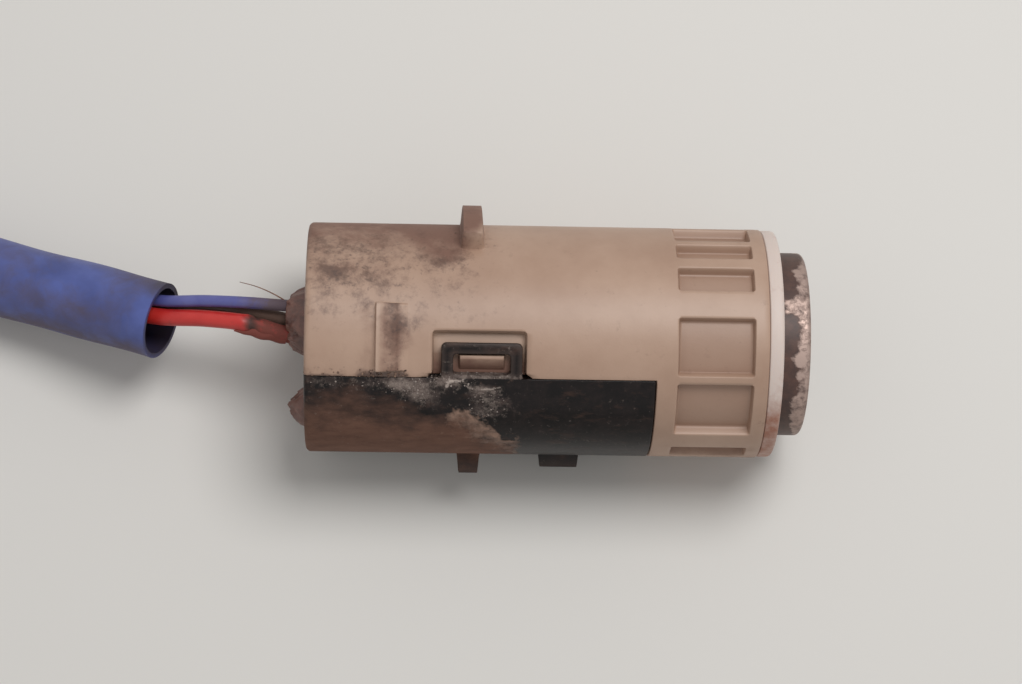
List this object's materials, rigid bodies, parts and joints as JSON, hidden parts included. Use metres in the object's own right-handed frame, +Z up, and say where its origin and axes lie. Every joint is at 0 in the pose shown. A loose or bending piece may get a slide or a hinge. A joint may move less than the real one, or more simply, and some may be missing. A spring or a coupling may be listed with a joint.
{
  "type": "parking sensor",
  "caption": "Round ultrasonic parking sensor: tan housing with a clipped black cover, silicone ring, metal sounding face, and a sleeved wire pigtail that ends in a sealed plug.",
  "frame": {"origin": "on the surface that the sensor lies on, below the middle of the sensor without its cable", "axes": "+X along the sensor's axis towards its sounding face, +Z up"},
  "size_m": [0.1919, 0.0466, 0.0239],
  "materials": {
    "housing_plastic": "matte",
    "cover_plastic": "satin",
    "ring_silicone": "matte",
    "can_paint": "satin",
    "piezo_ceramic": "matte",
    "foam": "matte",
    "backing_silicone": "satin",
    "lead_wire": "satin",
    "board_laminate": "satin",
    "ferrite": "matte",
    "copper_winding": "gloss",
    "chip_moulding": "matte",
    "capacitor_can": "satin",
    "chip_capacitor_ceramic": "satin",
    "chip_resistor_coat": "satin",
    "solder": "satin",
    "sealing_resin": "matte",
    "blue_insulation": "satin",
    "brown_insulation": "satin",
    "red_insulation": "satin",
    "sleeve_vinyl": "satin",
    "plug_plastic": "satin",
    "lock_plastic": "satin",
    "terminal_metal": "satin",
    "seal_silicone": "satin"
  },
  "bodies": {
    "root": {"housing": "housing_plastic", "rear_cover": "cover_plastic", "decoupling_ring": "ring_silicone", "transducer_can": "can_paint", "piezo_disc": "piezo_ceramic", "damping_foam": "foam", "can_backing": "backing_silicone", "transducer_leads": "lead_wire", "circuit_board": "board_laminate", "transformer_core": "ferrite", "transformer_winding": "copper_winding", "driver_chip": "chip_moulding", "electrolytic_capacitor": "capacitor_can", "chip_capacitors": "chip_capacitor_ceramic", "chip_resistors": "chip_resistor_coat", "solder_joints": "solder", "sealing_resin": "sealing_resin", "signal_wire": "blue_insulation", "ground_wire": "brown_insulation", "supply_wire": "red_insulation", "cable_sleeve": "sleeve_vinyl", "plug_housing": "plug_plastic", "plug_lock": "lock_plastic", "plug_terminals": "terminal_metal", "wire_seals": "seal_silicone", "plug_face_seal": "seal_silicone"}
  },
  "joints": []
}
